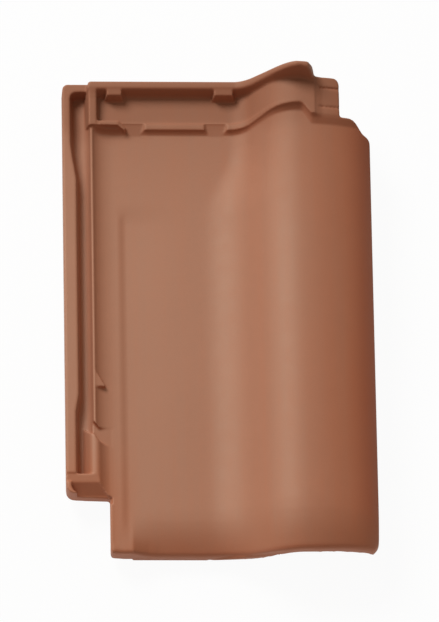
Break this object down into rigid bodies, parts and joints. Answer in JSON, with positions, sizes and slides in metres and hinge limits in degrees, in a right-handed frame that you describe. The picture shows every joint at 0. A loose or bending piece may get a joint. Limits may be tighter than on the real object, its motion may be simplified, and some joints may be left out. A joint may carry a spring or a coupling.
{
  "type": "clay roof tile",
  "caption": "Interlocking hollow-pan roof tile of fired clay: flat pan, side roll, ribbed side lock, head rim and nibs below.",
  "frame": {"origin": "centre of the bounding box on the floor plane the tile rests on", "axes": "+X across the tile to the roll, +Y up the slope from tail to head, +Z out of the weather face"},
  "size_m": [0.286, 0.467, 0.0975],
  "materials": {
    "clay": "matt fired clay"
  },
  "bodies": {
    "root": {"roof_tile": "clay"}
  },
  "joints": []
}
